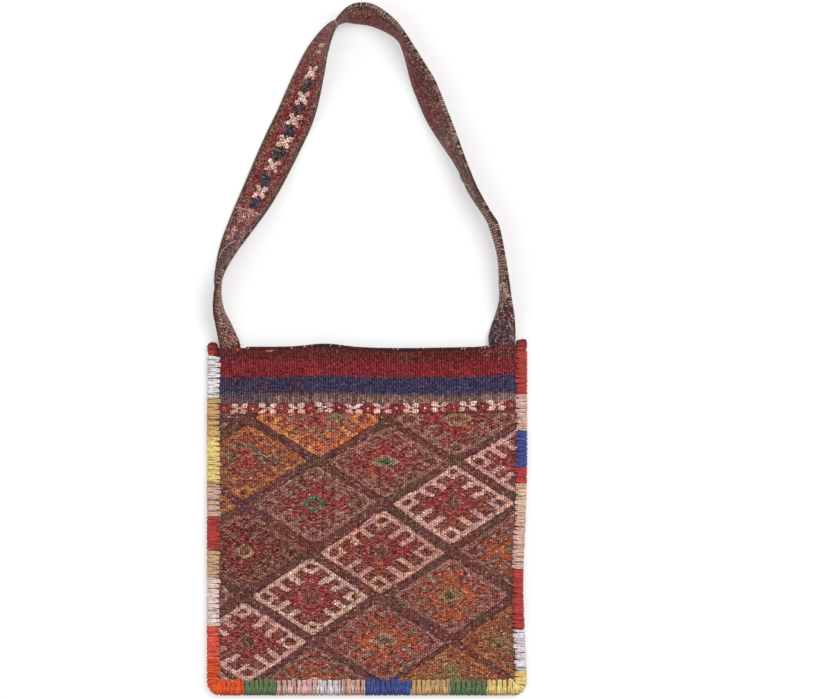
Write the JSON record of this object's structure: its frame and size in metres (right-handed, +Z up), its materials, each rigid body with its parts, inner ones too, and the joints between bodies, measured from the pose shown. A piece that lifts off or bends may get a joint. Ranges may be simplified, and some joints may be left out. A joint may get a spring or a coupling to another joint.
{
  "type": "crossbody bag",
  "caption": "Flat square kilim-woven shoulder bag with a diamond-patterned front, edges wrapped in coloured yarn, an open top and a long woven strap, lying on its back.",
  "frame": {"origin": "centre of the footprint of the bag and its laid-out strap, on the surface that the back panel lies on", "axes": "+X across the bag to the right as seen on the patterned front, +Y from the bag's closed bottom through the mouth towards the strap's far loop, +Z up out of the front panel"},
  "size_m": [0.3, 0.645, 0.0368],
  "materials": {
    "kilim_front": "matte hand-woven wool kilim: ribbed red, maroon and navy stripes, border row and diamond lattice",
    "kilim_back": "matte plain striped wool kilim",
    "strap_weave": "matte brown-red woven wool band with a column of small cream and navy figures",
    "yarn_white": "matte wrapped wool yarn, white",
    "yarn_olive_tan": "matte wrapped wool yarn, olive tan",
    "yarn_yellow": "matte wrapped wool yarn, yellow",
    "yarn_pink_tan": "matte wrapped wool yarn, pinkish tan",
    "yarn_red": "matte wrapped wool yarn, red",
    "yarn_tan": "matte wrapped wool yarn, tan",
    "yarn_dirty_white": "matte wrapped wool yarn, greyish white",
    "yarn_vermilion": "matte wrapped wool yarn, vermilion",
    "yarn_orange": "matte wrapped wool yarn, orange",
    "yarn_green": "matte wrapped wool yarn, green",
    "yarn_pink": "matte wrapped wool yarn, pink",
    "yarn_lavender_white": "matte wrapped wool yarn, lavender white",
    "yarn_pink_beige": "matte wrapped wool yarn, pinkish beige",
    "yarn_blue": "matte wrapped wool yarn, blue",
    "yarn_pink_cream": "matte wrapped wool yarn, pinkish cream",
    "yarn_cream": "matte wrapped wool yarn, cream",
    "yarn_dark_red": "matte wool yarn end, dark red",
    "yarn_dark_brown": "matte whipped wool yarn, dark brown",
    "thread_orange": "matte sewing thread, orange red"
  },
  "bodies": {
    "root": {"front_panel": "kilim_front", "back_panel": "kilim_back", "strap": "strap_weave", "mouth_overcast_front": "yarn_dark_brown", "mouth_overcast_back": "yarn_dark_brown", "strap_tack_left": "thread_orange", "strap_tack_right": "thread_orange", "corner_knob": "yarn_dark_red", "corner_tip": "yarn_dark_brown", "binding_01_white": "yarn_white", "binding_02_olive_tan": "yarn_olive_tan", "binding_03_yellow": "yarn_yellow", "binding_04_pink_tan": "yarn_pink_tan", "binding_05_red": "yarn_red", "binding_06_tan": "yarn_tan", "binding_07_dirty_white": "yarn_dirty_white", "binding_08_vermilion": "yarn_vermilion", "binding_09_orange": "yarn_orange", "binding_10_green": "yarn_green", "binding_11_pink": "yarn_pink", "binding_12_lavender_white": "yarn_lavender_white", "binding_13_pink_beige": "yarn_pink_beige", "binding_14_blue": "yarn_blue", "binding_15_olive_tan": "yarn_olive_tan", "binding_16_green": "yarn_green", "binding_17_yellow": "yarn_yellow", "binding_18_lavender_white": "yarn_lavender_white", "binding_19_red": "yarn_red", "binding_20_pink_cream": "yarn_pink_cream", "binding_21_cream": "yarn_cream", "binding_22_red": "yarn_red", "binding_23_blue": "yarn_blue", "binding_24_pink_cream": "yarn_pink_cream", "binding_25_red": "yarn_red"}
  },
  "joints": []
}
